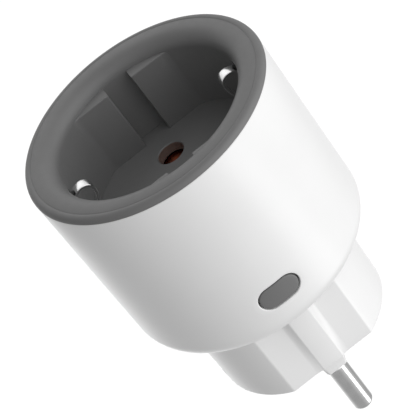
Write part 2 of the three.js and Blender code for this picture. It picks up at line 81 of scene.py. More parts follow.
# socket insert
RECESS_R = 19.75
FLOOR_Z = RIM_Z - 18
RIM_INNER_ROUND = 3.1
RIM_FLAT_R = 25.05
RIM_SHOULDER_DROP = 1.2
RIM_GROOVE_R = 24.65             # fine groove just inside the rim's outer shoulder
RIM_GROOVE_DEPTH = 0.12
GUIDE_FLAT_X = 16.5
GUIDE_TOP_DROP = 2.9
GUIDE_GROOVE_HALF = 2.9
GUIDE_BLEND_R = 3.0
PIN_HOLE_R = 2.9
CUP_WALL = 1.85
SKIRT_R = BODY_R - SHELL_WALL - 0.3
SKIRT_INNER_R = 22.6
SKIRT_UNDER_Z = 58.5
SKIRT_ROOF_Z = 61.6
CLIP_SLOT_LOW = (-1.5, 18.6, 43)
CLIP_SLOT_HIGH = (1.5, 22.25, 61.15)
SCREW_HOLE_R = 1.9
SCREW_SINK_R = 3.6
SCREW_SINK_DEPTH = 1.4

# plug base
BASE_END_R = 19.03
BASE_TOP_R = 19.5
BASE_FLAT_END_X = 16.3
BASE_FLAT_TOP_X = 16.8
BASE_TOP_Z = SHOULDER_Z - SEAM
BASE_EDGE_ROUND = 0.3
BASE_CORNER_R = 1.0              # where a flat meets the round side
BASE_END_WALL = 2.4
BASE_INNER_R = 14.0
RIB_HALF = 2.5
RIB_FOOT_HALF = 4.1
RIB_FOOT_CURVE = 1.6             # 1 is a straight slope, more is hollower
RIB_FOOT_STEP = 0.1              # what the rib's edge round takes off the foot's height
RIB_END_RISE = 0.35
RIB_TOP_RISE = 1.7
SPIGOT_R = 16
SPIGOT_INNER_R = 14.2
SPIGOT_TOP_Z = 25.2
PILLAR_R = 3.2
SIDE_GROOVE_LOW = (-3, 17.7, 3)
SIDE_GROOVE_HIGH = (3, 22, 18.6)
EARTH_PIN_HOLE_Y = 10

# pins and their collars
PIN_R = 2.4
PIN_TIP_DOME = 1.6
PIN_EDGE = 0.12
PIN_SHANK_R = 1.7
PIN_BORE_R = 2.0
PIN_FLANGE_R = 3
PIN_FLANGE_LOW_Z = 2.7
PIN_FLANGE_HIGH_Z = 4.4
COLLAR_ROOT_HALF = 3.4           # half width of the flat-sided collar at the end face
COLLAR_TIP_HALF = 2.45
COLLAR_CORNER_R = 0.7
COLLAR_EDGE = 0.12

# button
BUTTON_Z = 31.42
BUTTON_HALF_LENGTH = 4.3
BUTTON_HALF_WIDTH = 2.4
BUTTON_GAP = 0.28
BUTTON_FACE_R = 26.15
BUTTON_EDGE = 0.2
BUTTON_FLANGE = 0.95             # how far the flange stands out round the cap
BUTTON_FLANGE_BACK_R = 23.1
BUTTON_STEM_HALF = 1.2
BUTTON_STEM_BACK_R = 22.4
OPENING_EDGE_ROUND = 0.25

# earth springs: a line through each strip's middle, as (y, z) from its root to its free end
SPRING_WIDTH = 2.4
SPRING_T = 0.6
SPRING_LINE = [
    (20.7, 43.8), (20.65, 47.2), (19.6, 50.1), (17.7, 53.4), (16.3, 56.2), (15.75, 58), (15.8, 59.4),
    (16.3, 60.2), (17.2, 60.57), (18.2, 60.5), (19.1, 60.1), (19.9, 59.3),
]

# socket contacts and earth pin contact
SOCKET_SLEEVE_R = (2.6, 3.3)     # inner, outer
SOCKET_SLEEVE_UNDER_Z = 33
SOCKET_SLIT_HALF = 0.6
SOCKET_SLIT_UNDER_Z = 36
EARTH_SLEEVE_R = (2.95, 3.5)
EARTH_SLIT_HALF = 0.5
SLEEVE_FLARE = 0.3

# centre screw
SCREW_R = 1.5
SCREW_TIP_R = 0.7
SCREW_TIP_Z = 27
SCREW_HEAD_R = 3.2
SCREW_HEAD_UNDER_Z = FLOOR_Z - 1.1
SCREW_HEAD_TOP_Z = FLOOR_Z - 0.25
SCREW_HEAD_ROUND = 0.6
SCREW_HEAD_DOME = 0.45

# camera, mm: the picture is rolled about the view, and the view is spun a little about the axis
CAMERA_AIM = Vector((0, -37.2, -0.84))
CAMERA_DISTANCE = 363
CAMERA_LENS = 157.93
CAMERA_RISE = radians(36.73)     # from square to the button towards the open socket
CAMERA_LIFT = 0.0023             # how far the view's direction leans along Z
CAMERA_ROLL = radians(37.7)
CAMERA_SPIN = radians(0.3)

# light: each glow has a direction, how narrow it is, and its strength
SURROUND_LEVEL = 0.40
KEY_GLOW = ((0.579, -0.342, 0.741), 2, 1.47)
EDGE_GLOW = ((-0.76, 0.598, -0.25), 6, 1.25)
RIM_GLOW = ((-0.8, -0.6, 0), 4, 0.75)
SOCKET_SHADE = ((0, -1, 0), 8, -0.54)    # takes light away in front of the open socket
BACKDROP_LEVEL = 1.05            # what the camera sees behind the plug
STRIP_TOWARDS = (0.6, 0.56, 0.57)
STRIP_DISTANCE = 0.6             # in metres, as are the sizes of the strip and the floor
STRIP_SIZE = (0.66, 0.22)
STRIP_POWER = 0.7                # watts
FLOOR_HALF = 3.0
FLOOR_DROP = 0.3


# ---- mesh helpers -----------------------------------------------------------------------

def arc(a, b, radius, start, end, steps, radius_b=None):
    """Points on an arc about (a, b), from start to end in degrees."""
    angles = [radians(start + (end - start) * i / steps) for i in range(steps + 1)]
    return [(a + radius * cos(t), b + (radius_b or radius) * sin(t)) for t in angles]


def circle(radius, z, steps):
    turns = [2 * pi * i / steps for i in range(steps)]
    return [(radius * cos(t), radius * sin(t), z) for t in turns]


def rounded_rectangle(half_a, half_b, corner, steps):
    """Outline of a rectangle with round corners."""
    outline = []
    for sa, sb, start in ((1, 1, 0), (-1, 1, 90), (-1, -1, 180), (1, -1, 270)):
        outline += arc(sa * (half_a - corner), sb * (half_b - corner), corner, start, start + 90, steps)
    return outline


def bridge(bm, lower, upper):
    """Faces between two closed loops of as many vertices, or a loop and one vertex."""
    for i in range(max(len(lower), len(upper))):
        round_face = ((lower, i), (lower, i + 1), (upper, i + 1), (upper, i))
        corners = list(dict.fromkeys(loop[k % len(loop)] for loop, k in round_face))
        if len(corners) > 2:
            bm.faces.new(corners)


def skin(rings, closed=False):
    """A mesh over successive rings of points; open ends are capped."""
    bm = bmesh.new()
    loops = [[bm.verts.new(point) for point in ring] for ring in rings]
    for lower, upper in zip(loops, loops[1:]):
        bridge(bm, lower, upper)
    if closed:
        bridge(bm, loops[-1], loops[0])
    else:
        for end in (loops[0], loops[-1]):
            if len(end) > 1:
                bm.faces.new(end)
    return bm


def revolve(profile, steps=96, closed=False):
    """A body of revolution about z from (radius, z) points."""
    return skin([circle(r, z, steps) if r > 0 else [(0, 0, z)] for r, z in profile], closed)


def rod(radius, low, high, steps=48):
    return revolve([(0, low), (radius, low), (radius, high), (0, high)], steps)


def rounded_block(low, high, radius, steps=3):
    """A block between two corners, with all its edges rounded."""
    bm = bmesh.new()
    bmesh.ops.create_cube(bm, size=1)
    size = Vector(high) - Vector(low)
    for vert in bm.verts:
        vert.co = Vector(low) + Vector([s * (c + 0.5) for s, c in zip(size, vert.co)])
    bmesh.ops.bevel(bm, geom=bm.edges[:], offset=radius, segments=steps, profile=0.5, affect="EDGES")
    return bm


def moved(bm, x=0, y=0, turn=0):
    """The mesh turned about z, then shifted."""
    bm.transform(Matrix.Translation((x, y, 0)) @ Matrix.Rotation(radians(turn), 4, "Z"))
    return bm


def mirrored_y(bm):
    bm.transform(Matrix.Scale(-1, 4, (0, 1, 0)))
    bmesh.ops.reverse_faces(bm, faces=bm.faces)
    return bm


def blocks_on_both_sides(low, high, radius):
    """The same rounded block at +y and at -y."""
    return [rounded_block(low, high, radius), mirrored_y(rounded_block(low, high, radius))]


def together(*parts):
    """Several meshes in one, left as separate islands."""
    whole = bmesh.new()
    for part in parts:
        mesh = bpy.data.meshes.new("part")
        part.to_mesh(mesh)
        part.free()
        whole.from_mesh(mesh)
        bpy.data.meshes.remove(mesh)
    return whole


def combine(bm, tool, operation):
    """Joins or cuts a mesh with another one."""
    workers = []
    for source in (bm, tool):
        bmesh.ops.remove_doubles(source, verts=source.verts, dist=1e-5)
        bmesh.ops.recalc_face_normals(source, faces=source.faces)
        mesh = bpy.data.meshes.new("work")
        source.to_mesh(mesh)
        source.free()
        worker = bpy.data.objects.new("work", mesh)
        bpy.context.scene.collection.objects.link(worker)
        workers.append(worker)
    modifier = workers[0].modifiers.new("combine", "BOOLEAN")
    modifier.operation = operation
    modifier.solver = "EXACT"
    modifier.object = workers[1]
    evaluated = workers[0].evaluated_get(bpy.context.evaluated_depsgraph_get())
    result = bmesh.new()
    result.from_mesh(evaluated.to_mesh())
    for worker in workers:
        bpy.data.meshes.remove(worker.data)
    return result


def cut(bm, *tools):
    return combine(bm, together(*tools), "DIFFERENCE")


def join(bm, *tools):
    return combine(bm, together(*tools), "UNION")


def add_piece(name, bm, node, material, body="casing", crease=32):
    """Turns a finished mesh into the shown piece that stands for a CAD node."""
    bmesh.ops.remove_doubles(bm, verts=bm.verts, dist=1e-4)
    bmesh.ops.recalc_face_normals(bm, faces=bm.faces)
    bm.transform(FRAME_FROM_AXIS)
    mesh = bpy.data.meshes.new(name)
    bm.to_mesh(mesh)
    bm.free()
    mesh.shade_smooth()
    mesh.set_sharp_from_angle(angle=radians(crease))
    mesh.materials.append(material)
    piece = bpy.data.objects.new(name, mesh)
    bpy.context.scene.collection.objects.link(piece)
    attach(piece, body)
    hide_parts(node)
    return piece


# ---- materials --------------------------------------------------------------------------

def new_material(name):
    material = bpy.data.materials.new(name)
    material.use_nodes = True
    tree = material.node_tree
    return material, tree, tree.nodes["Principled BSDF"]


def noise(tree, scale, detail=2.0, stretch=(1, 1, 1)):
    """A noise texture in the part's own space; scale is in features per metre."""
    coords = tree.nodes.new("ShaderNodeTexCoord")
    mapping = tree.nodes.new("ShaderNodeMapping")
    mapping.inputs["Scale"].default_value = stretch
    texture = tree.nodes.new("ShaderNodeTexNoise")
    texture.inputs["Scale"].default_value = scale
    texture.inputs["Detail"].default_value = detail
    tree.links.new(coords.outputs["Object"], mapping.inputs["Vector"])
    tree.links.new(mapping.outputs["Vector"], texture.inputs["Vector"])
    return texture.outputs["Fac"]


def ramp(tree, value, low, high, start=0.35, end=0.65):
    """Blends two colours by a value."""
    node = tree.nodes.new("ShaderNodeValToRGB")
    node.color_ramp.elements[0].position = start
    node.color_ramp.elements[1].position = end
    node.color_ramp.elements[0].color = (*low, 1)
    node.color_ramp.elements[1].color = (*high, 1)
    tree.links.new(value, node.inputs["Fac"])
    return node.outputs["Color"]


def spread(tree, value, low, high):
    """Maps a noise value, which mostly lies between 0.3 and 0.7, onto a range of numbers."""
    node = tree.nodes.new("ShaderNodeMapRange")
    node.inputs["From Min"].default_value = 0.3
    node.inputs["From Max"].default_value = 0.7
    node.inputs["To Min"].default_value = low
    node.inputs["To Max"].default_value = high
    tree.links.new(value, node.inputs["Value"])
    return node.outputs["Result"]


def bump(tree, shader, layers):
    """Stacks height layers of (noise value, depth in mm) on a shader's normal."""
    normal = None
    for value, depth in layers:
        node = tree.nodes.new("ShaderNodeBump")
        node.inputs["Strength"].default_value = 1.0
        node.inputs["Distance"].default_value = depth * MM
        tree.links.new(value, node.inputs["Height"])
        if normal:
            tree.links.new(normal, node.inputs["Normal"])
        normal = node.outputs["Normal"]
    tree.links.new(normal, shader.inputs["Normal"])


def moulded(name, low, high, roughness, uneven=0.04, grain=5000, grain_depth=0.004, wave_depth=0.012):
    """Injection-moulded plastic: cloudy tone, fine spark-eroded grain and faint waviness."""
    material, tree, shader = new_material(name)
    colour = ramp(tree, noise(tree, 90, 4), low, high)
    tree.links.new(colour, shader.inputs["Base Color"])
    gloss = spread(tree, noise(tree, 700, 3), roughness - uneven, roughness + uneven)
    tree.links.new(gloss, shader.inputs["Roughness"])
    bump(tree, shader, [(noise(tree, 130, 1), wave_depth), (noise(tree, grain, 2), grain_depth)])
    return material


def metal(name, low, high, roughness, stretch=(1, 1, 1), line_scale=1500, line_depth=0.002):
    """Bare or plated metal with drawn or turned lines and slightly uneven tone."""
    material, tree, shader = new_material(name)
    shader.inputs["Metallic"].default_value = 1.0
    tree.links.new(ramp(tree, noise(tree, 400, 3), low, high), shader.inputs["Base Color"])
    lines = noise(tree, line_scale, 3, stretch)
    tree.links.new(spread(tree, lines, roughness - 0.05, roughness + 0.06), shader.inputs["Roughness"])
    bump(tree, shader, [(lines, line_depth)])
    return material


def paint_mouth_shade(material, tone, dark_y, lit_y):
    """Paints shade onto a metal: a dark tone up to dark_y along Y, fading out by the other height given, in
    metres.
    """
    tree = material.node_tree
    colour = tree.nodes["Principled BSDF"].inputs["Base Color"]
    coords = tree.nodes.new("ShaderNodeTexCoord")
    split = tree.nodes.new("ShaderNodeSeparateXYZ")
    tree.links.new(coords.outputs["Object"], split.inputs["Vector"])
    fade = tree.nodes.new("ShaderNodeMapRange")
    fade.inputs["From Min"].default_value = dark_y
    fade.inputs["From Max"].default_value = lit_y
    tree.links.new(split.outputs["Y"], fade.inputs["Value"])
    blend = tree.nodes.new("ShaderNodeMix")
    blend.data_type = "RGBA"
    blend.inputs["A"].default_value = (*tone, 1)
    tree.links.new(colour.links[0].from_socket, blend.inputs["B"])
    tree.links.new(fade.outputs["Result"], blend.inputs["Factor"])
    tree.links.new(blend.outputs["Result"], colour)


def grey(value):
    return (value, value, value)


def contact_copper():
    """The copper of the socket contacts, with painted shade dark at the mouth."""
    material = metal("contact_copper", *COPPER_TONES, 0.34, stretch=(1, 0.2, 1))
    mouth_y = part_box("line_socket_contact")[0].y
    # painted shade: the top of the sleeve is darkened where the hole's shadow falls
    paint_mouth_shade(material, (0.10, 0.012, 0.004), mouth_y + 0.25 * MM, mouth_y + 0.95 * MM)
    return material


COPPER_TONES = ((0.80, 0.42, 0.28), (0.92, 0.54, 0.39))

WHITE_PLASTIC = moulded("white_plastic", grey(0.803), grey(0.813), 0.287, uneven=0.01,
                        grain_depth=0.0006, wave_depth=0.002)
GREY_PLASTIC = moulded("grey_plastic", grey(0.148), grey(0.158), 0.48, grain=4000, grain_depth=0.008)
BUTTON_PLASTIC = moulded("button_plastic", grey(0.15), grey(0.158), 0.42, grain=4500, grain_depth=0.006)
# painted reflection: brown tint for the pin hole walls, in place of light bounced from the copper
HOLE_BOUNCE_TINT = moulded("hole_bounce_tint", (0.19, 0.132, 0.112), (0.21, 0.146, 0.124), 0.5)
INNER_PLASTIC = moulded("inner_plastic", (0.68, 0.68, 0.65), (0.74, 0.74, 0.71), 0.55)
NICKEL = metal("nickel", grey(0.76), grey(0.82), 0.13, stretch=(0.05, 1, 0.05), line_scale=3000)
SPRING_STEEL = metal("spring_steel", grey(0.86), grey(0.93), 0.2, stretch=(1, 0.08, 0.08), line_scale=2500)
COPPER = metal("copper", *COPPER_TONES, 0.34, stretch=(1, 0.2, 1))
CONTACT_COPPER = contact_copper()
ZINC_STEEL = metal("zinc_steel", (0.42, 0.42, 0.44), (0.56, 0.56, 0.58), 0.34)
BOARD = moulded("circuit_board", (0.010, 0.075, 0.030), (0.016, 0.12, 0.048), 0.35,
                grain=1200, grain_depth=0.01)
CHIP = moulded("chip_black", grey(0.012), grey(0.020), 0.45, grain=6000, grain_depth=0.006)
RELAY = moulded("relay_black", (0.012, 0.014, 0.020), (0.020, 0.023, 0.030), 0.4)
SLEEVE = moulded("capacitor_sleeve", (0.014, 0.015, 0.022), (0.024, 0.025, 0.034), 0.33)
FILM = moulded("film_yellow", (0.52, 0.34, 0.05), (0.62, 0.42, 0.07), 0.4)
VARISTOR = moulded("varistor_blue", (0.02, 0.07, 0.24), (0.03, 0.09, 0.30), 0.45,
                   grain=2500, grain_depth=0.02)
CERAMIC = moulded("ceramic_body", (0.58, 0.52, 0.42), (0.66, 0.60, 0.50), 0.5)

MATERIAL_OF_SLOT = {
    "shell_white": WHITE_PLASTIC, "socket_grey": GREY_PLASTIC, "inner_plastic": INNER_PLASTIC,
    "nickel": NICKEL, "spring_steel": SPRING_STEEL, "copper": COPPER, "zinc_steel": ZINC_STEEL,
    "circuit_board": BOARD, "chip_black": CHIP, "relay_black": RELAY, "capacitor_sleeve": SLEEVE,
    "film_yellow": FILM, "varistor_blue": VARISTOR, "ceramic_body": CERAMIC,
}


# ---- outer shell with its button opening ------------------------------------------------

def pill_directions(count):
    """Evenly spaced stations round the button: a place on its spine and a direction from it."""
    spine = BUTTON_HALF_LENGTH - BUTTON_HALF_WIDTH
    quarter = BUTTON_HALF_WIDTH * pi / 2
    whole = 4 * (spine + quarter)
    stations = []
    for i in range(count):
        run = whole * i / count
        if run < quarter:
            stations.append((spine, run / BUTTON_HALF_WIDTH))
        elif run < quarter + 2 * spine:
            stations.append((spine - (run - quarter), pi / 2))
        elif run < 3 * quarter + 2 * spine:
            stations.append((-spine, pi / 2 + (run - quarter - 2 * spine) / BUTTON_HALF_WIDTH))
        elif run < 3 * quarter + 4 * spine:
            stations.append((-spine + (run - 3 * quarter - 2 * spine), 3 * pi / 2))
        else:
            stations.append((spine, 3 * pi / 2 + (run - 3 * quarter - 4 * spine) / BUTTON_HALF_WIDTH))
    return stations


def on_cylinder(radius, y, z):
    return (sqrt(radius * radius - y * y), y, z)


def pill_ring(stations, half_width, radius):
    """A ring round the button at some half width, lying on a cylinder about the axis."""
    return [on_cylinder(radius, spine + half_width * cos(turn), BUTTON_Z + half_width * sin(turn))
            for spine, turn in stations]


def patch_border(grid, rows, half_columns):
    """The vertices round a rectangle of the grid, from the middle of its +y side."""
    middle = len(rows) // 2
    columns = range(-half_columns, half_columns + 1)
    border = [grid[row][half_columns] for row in rows[middle:]]
    border += [grid[rows[-1]][column] for column in reversed(columns[:-1])]
    border += [grid[row][-half_columns] for row in reversed(rows[:-1])]
    border += [grid[rows[0]][column] for column in columns[1:]]
    border += [grid[row][half_columns] for row in rows[1:middle]]
    return border


def shell_profile(patch_rows):
    """The wall's closed outline, and its points beside the button, outside and inside."""
    top = RIM_Z - RIM_SHOULDER_DROP - SEAM
    inner = BODY_R - SHELL_WALL
    inner_fillet = SHOULDER_FILLET - SHELL_WALL
    fillet_z = SHOULDER_Z + SHOULDER_FILLET
    patch_half_height = 4.3
    plain_wall_z = (42, 52)
    patch_z = [BUTTON_Z + patch_half_height * (2 * i / patch_rows - 1) for i in range(patch_rows + 1)]
    outside = [(SPIGOT_HOLE_R, SHOULDER_Z), (BASE_TOP_R, SHOULDER_Z)]
    outside += arc(BODY_R - SHOULDER_FILLET, fillet_z, SHOULDER_FILLET, -90, 0, 20)
    outer_rows = [len(outside) + i for i in range(patch_rows + 1)]
    outside += [(BODY_R, z) for z in (*patch_z, *plain_wall_z)]
    outside += arc(BODY_R - SHELL_TOP_ROUND, top - SHELL_TOP_ROUND, SHELL_TOP_ROUND, 0, 90, 3)
    outside.append((inner, top))
    inner_rows = [len(outside) + patch_rows - i for i in range(patch_rows + 1)]
    inside = [(inner, z) for z in reversed(patch_z)]
    inside += arc(inner - inner_fillet, fillet_z, inner_fillet, 0, -90, 8)
    inside.append((SPIGOT_HOLE_R, SHOULDER_Z + SHELL_WALL))
    return outside + inside, outer_rows, inner_rows


def shell_mesh():
    """Turned wall with a patch left out beside the button, filled by rings round the opening."""
    columns = 256
    half_columns = 13
    profile, outer_rows, inner_rows = shell_profile(14)
    bm = bmesh.new()
    grid = [[bm.verts.new(point) for point in circle(r, z, columns)] for r, z in profile]
    patch_rows = set(outer_rows[:-1]) | set(inner_rows[1:])
    for i, lower in enumerate(grid):
        upper = grid[(i + 1) % len(grid)]
        for k in range(columns):
            in_patch = i in patch_rows and (k < half_columns or k >= columns - half_columns)
            if not in_patch:
                j = (k + 1) % columns
                bm.faces.new((lower[k], lower[j], upper[j], upper[k]))

    outer_border = patch_border(grid, outer_rows, half_columns)
    inner_border = patch_border(grid, inner_rows, half_columns)
    stations = pill_directions(len(outer_border))
    opening = BUTTON_HALF_WIDTH + BUTTON_GAP
    mouth = pill_ring(stations, opening + OPENING_EDGE_ROUND, BODY_R)
    rings = []
    for share in (0.35, 0.7):
        rings.append([on_cylinder(BODY_R, v.co.y + (m[1] - v.co.y) * share, v.co.z + (m[2] - v.co.z) * share)
                      for v, m in zip(outer_border, mouth)])
    for half_width, radius in arc(opening + OPENING_EDGE_ROUND, BODY_R - OPENING_EDGE_ROUND,
                                  OPENING_EDGE_ROUND, 90, 180, 4):
        rings.append(pill_ring(stations, half_width, radius))
    rings.append(pill_ring(stations, opening, BODY_R - SHELL_WALL))
    loops = [[bm.verts.new(point) for point in ring] for ring in rings]
    loops = [outer_border, *loops, inner_border]
    for first, second in zip(loops, loops[1:]):
        bridge(bm, first, second)
    bmesh.ops.delete(bm, geom=[v for v in bm.verts if not v.link_faces], context="VERTS")
    return bm


def button_mesh():
    """Pill-shaped cap with a softly rounded edge, a flange behind the shell and a stem."""
    flange_front_r = BODY_R - SHELL_WALL - 0.3
    flange_half = BUTTON_HALF_WIDTH + BUTTON_FLANGE
    profile = [(half_width, BUTTON_FACE_R) for half_width in (0, 0.9, 1.6)]
    profile += arc(BUTTON_HALF_WIDTH - BUTTON_EDGE, BUTTON_FACE_R - BUTTON_EDGE, BUTTON_EDGE, 90, 0, 4)
    profile += [(BUTTON_HALF_WIDTH, flange_front_r), (flange_half, flange_front_r),
                (flange_half, BUTTON_FLANGE_BACK_R), (BUTTON_STEM_HALF, BUTTON_FLANGE_BACK_R),
                (BUTTON_STEM_HALF, BUTTON_STEM_BACK_R), (0, BUTTON_STEM_BACK_R)]
    stations = pill_directions(80)
    return skin([pill_ring(stations, half_width, radius) for half_width, radius in profile])


# ---- socket insert ----------------------------------------------------------------------

def guide_block(sx, sy):
    """A block on the recess wall whose flat runs into the round wall in a soft blend."""
    centre_x = GUIDE_FLAT_X - GUIDE_BLEND_R
    centre_y = sqrt((RECESS_R - GUIDE_BLEND_R) ** 2 - centre_x ** 2)
    blend_end = atan2(centre_y, centre_x) * 180 / pi
    last = radians(blend_end + 2)
    buried_r = RECESS_R + 0.9
    outline = [(GUIDE_FLAT_X, GUIDE_GROOVE_HALF)]
    outline += arc(centre_x, centre_y, GUIDE_BLEND_R, 0, blend_end, 8)
    outline += [(buried_r * cos(last), buried_r * sin(last)), (buried_r, GUIDE_GROOVE_HALF)]
    bm = skin([[(x, y, z) for x, y in outline] for z in (FLOOR_Z - 1, RIM_Z - GUIDE_TOP_DROP)])
    bmesh.ops.recalc_face_normals(bm, faces=bm.faces)
    shown = [edge for edge in bm.edges if shows_on_guide(edge)]
    bmesh.ops.bevel(bm, geom=shown, offset=0.3, segments=3, profile=0.5, affect="EDGES")
    bm.transform(Matrix.Diagonal((sx, sy, 1, 1)))
    return bm


def shows_on_guide(edge):
    """True for the edges of a guide block that stand in the recess."""
    points = [vert.co for vert in edge.verts]
    at_top = all(p.z > FLOOR_Z for p in points)
    in_recess = all(hypot(p.x, p.y) < RECESS_R + 0.1 for p in points)
    upright = abs(points[0].z - points[1].z) > 1 and all(p.y < GUIDE_GROOVE_HALF + 0.01 for p in points)
    return in_recess and (at_top or upright)


def hole_tool(radius, low, high, chamfer=0.2):
    """Cutter for a round hole with a chamfered mouth at its upper end."""
    over = 1
    return revolve([(0, low), (radius, low), (radius, high - chamfer),
                    (radius + chamfer + over, high + over), (0, high + over)], 64)


def insert_mesh():
    """Rim and cup in one, with the guide blocks, and cut for the springs, pins and screw."""
    cup_outer = RECESS_R + CUP_WALL
    ring_under = RIM_Z - RIM_SHOULDER_DROP
    groove_half = 0.25
    profile = [(0, FLOOR_Z), (RECESS_R, FLOOR_Z)]
    profile += arc(RECESS_R + RIM_INNER_ROUND, RIM_Z - RIM_INNER_ROUND, RIM_INNER_ROUND, 180, 90, 14)
    profile += [(RIM_GROOVE_R - groove_half, RIM_Z), (RIM_GROOVE_R, RIM_Z - RIM_GROOVE_DEPTH),
                (RIM_GROOVE_R + groove_half, RIM_Z)]
    profile += arc(RIM_FLAT_R, ring_under, BODY_R - RIM_FLAT_R, 90, 0, 12, RIM_SHOULDER_DROP)
    profile += [(SKIRT_R, ring_under), (SKIRT_R, SKIRT_UNDER_Z), (SKIRT_INNER_R, SKIRT_UNDER_Z),
                (SKIRT_INNER_R, SKIRT_ROOF_Z), (cup_outer, SKIRT_ROOF_Z), (cup_outer, INSERT_UNDER_Z + 1),
                (cup_outer - 1, INSERT_UNDER_Z), (0, INSERT_UNDER_Z)]
    guides = [guide_block(sx, sy) for sx in (1, -1) for sy in (1, -1)]
    body = join(revolve(profile, 256), *guides)
    below = 40                   # under the insert
    slots = blocks_on_both_sides(CLIP_SLOT_LOW, CLIP_SLOT_HIGH, 0.25)
    pin_holes = [moved(hole_tool(PIN_HOLE_R, below, FLOOR_Z), x=x) for x in (PIN_X, -PIN_X)]
    sink_z = FLOOR_Z - SCREW_SINK_DEPTH
    above = FLOOR_Z + 1
    screw_hole = revolve([(0, below), (SCREW_HOLE_R, below), (SCREW_HOLE_R, sink_z), (SCREW_SINK_R, sink_z),
                          (SCREW_SINK_R, FLOOR_Z - 0.2), (SCREW_SINK_R + 1.2, above), (0, above)], 64)
    return cut(body, *slots, *pin_holes, screw_hole)


def paint_pin_holes(mesh, material):
    """Gives the walls of the pin holes a brown tint: a painted reflection of the orange light that the
    copper contacts bounce up the hole.
    """
    mesh.materials.append(material)
    for face in mesh.polygons:
        centre = FRAME_FROM_AXIS.inverted() @ face.center
        from_hole = hypot(abs(centre.x) - PIN_X, centre.y)
        if from_hole < PIN_HOLE_R + 0.01 and centre.z < FLOOR_Z - 0.2:
            face.material_index = 1


# ---- plug base --------------------------------------------------------------------------

def base_outline(z):
    """Outline at a height: a circle with two flats, each with a rib between concave feet."""
    share = z / BASE_TOP_Z
    radius = BASE_END_R + (BASE_TOP_R - BASE_END_R) * share
    flat = BASE_FLAT_END_X + (BASE_FLAT_TOP_X - BASE_FLAT_END_X) * share
    rise = RIB_END_RISE + (RIB_TOP_RISE - RIB_END_RISE) * share
    corner_x = flat - BASE_CORNER_R
    corner_y = sqrt((radius - BASE_CORNER_R) ** 2 - corner_x ** 2)
    turn = atan2(corner_y, corner_x) * 180 / pi
    front = flat + rise
    half = [(front, 0.0), (front, RIB_HALF - 0.25), (front - 0.04, RIB_HALF - 0.08)]
    foot_steps = 8
    for i in range(foot_steps + 1):
        along = i / foot_steps
        height = (rise - RIB_FOOT_STEP) * (1 - along) ** RIB_FOOT_CURVE
        half.append((flat + height, RIB_HALF + (RIB_FOOT_HALF - RIB_HALF) * along))
    half += arc(corner_x, corner_y, BASE_CORNER_R, 0, turn, 4)
    half += arc(0, 0, radius, turn, 90, 40)[1:]
    quarter = half[1:-1]
    mirrored_x = [(-x, y) for x, y in reversed(quarter)]
    upper = [half[0]] + quarter + [half[-1]] + mirrored_x
    return upper + [(-x, -y) for x, y in upper]


def base_ring(z, inset=0.0, at=None):
    """The outline drawn in by an inset, at its own height or another."""
    height = z if at is None else at
    ring = []
    for x, y in base_outline(z):
        scale = 1 - inset / hypot(x, y)
        ring.append((x * scale, y * scale, height))
    return ring


def round_ring(radius, z):
    """A circle whose points stand at the outline's azimuths."""
    outline = base_outline(BASE_TOP_Z)
    return [(radius * x / hypot(x, y), radius * y / hypot(x, y), z) for x, y in outline]


def collar():
    """Flat-sided insulating collar that tapers away from the end face."""
    levels = ((COLLAR_ROOT_HALF, 1), (COLLAR_ROOT_HALF, 0), (COLLAR_TIP_HALF, COLLAR_TIP_Z + COLLAR_EDGE),
              (COLLAR_TIP_HALF - COLLAR_EDGE, COLLAR_TIP_Z))
    rings = []
    for half, z in levels:
        rings.append([(x, y, z) for x, y in rounded_rectangle(half, half, COLLAR_CORNER_R, 6)])
    return skin(rings)


def base_mesh():
    """Hollow base with its spigot, collars and pillar, and cut for the contacts and pins."""
    rings = [[(0, 0, 0)]]
    for inset, height in arc(BASE_EDGE_ROUND, BASE_EDGE_ROUND, BASE_EDGE_ROUND, -90, -180, 5):
        rings.append(base_ring(BASE_EDGE_ROUND, inset, height))
    rings += [base_ring(BASE_TOP_Z * i / 8) for i in range(1, 9)]
    rings += [round_ring(SPIGOT_R, BASE_TOP_Z), round_ring(SPIGOT_R, SPIGOT_TOP_Z),
              round_ring(SPIGOT_INNER_R, SPIGOT_TOP_Z), round_ring(BASE_INNER_R, BASE_END_WALL),
              [(0, 0, BASE_END_WALL)]]
    body = join(skin(rings), moved(collar(), x=PIN_X), moved(collar(), x=-PIN_X),
                rod(PILLAR_R, BASE_END_WALL - 0.5, PILLAR_TOP_Z))
    grooves = blocks_on_both_sides(SIDE_GROOVE_LOW, SIDE_GROOVE_HIGH, 0.4)
    bores = [moved(rod(PIN_BORE_R, COLLAR_TIP_Z - 1, BASE_END_WALL + 1), x=x) for x in (PIN_X, -PIN_X)]
    above = BASE_END_WALL + 0.5
    earth_hole = revolve([(0, -1), (PIN_HOLE_R + 1.3, -1), (PIN_HOLE_R, 0.3),
                          (PIN_HOLE_R, above), (0, above)], 64)
    return cut(body, *grooves, *bores, moved(earth_hole, y=EARTH_PIN_HOLE_Y))


# ---- metalwork --------------------------------------------------------------------------

def pin_mesh():
    """Turned pin with a domed tip, and a thinner shank with a flange behind the end wall."""
    shoulder = COLLAR_TIP_Z - SEAM
    profile = [(0, PIN_TIP_Z)] + arc(0, PIN_TIP_Z + PIN_TIP_DOME, PIN_R, -80, 0, 16, PIN_TIP_DOME)
    profile += [(PIN_R, shoulder - PIN_EDGE), (PIN_R - PIN_EDGE, shoulder), (PIN_SHANK_R, shoulder),
                (PIN_SHANK_R, PIN_FLANGE_LOW_Z), (PIN_FLANGE_R, PIN_FLANGE_LOW_Z),
                (PIN_FLANGE_R, PIN_FLANGE_HIGH_Z), (PIN_SHANK_R, PIN_FLANGE_HIGH_Z),
                (PIN_SHANK_R, PIN_HEAD_Z), (0, PIN_HEAD_Z)]
    return revolve(profile)


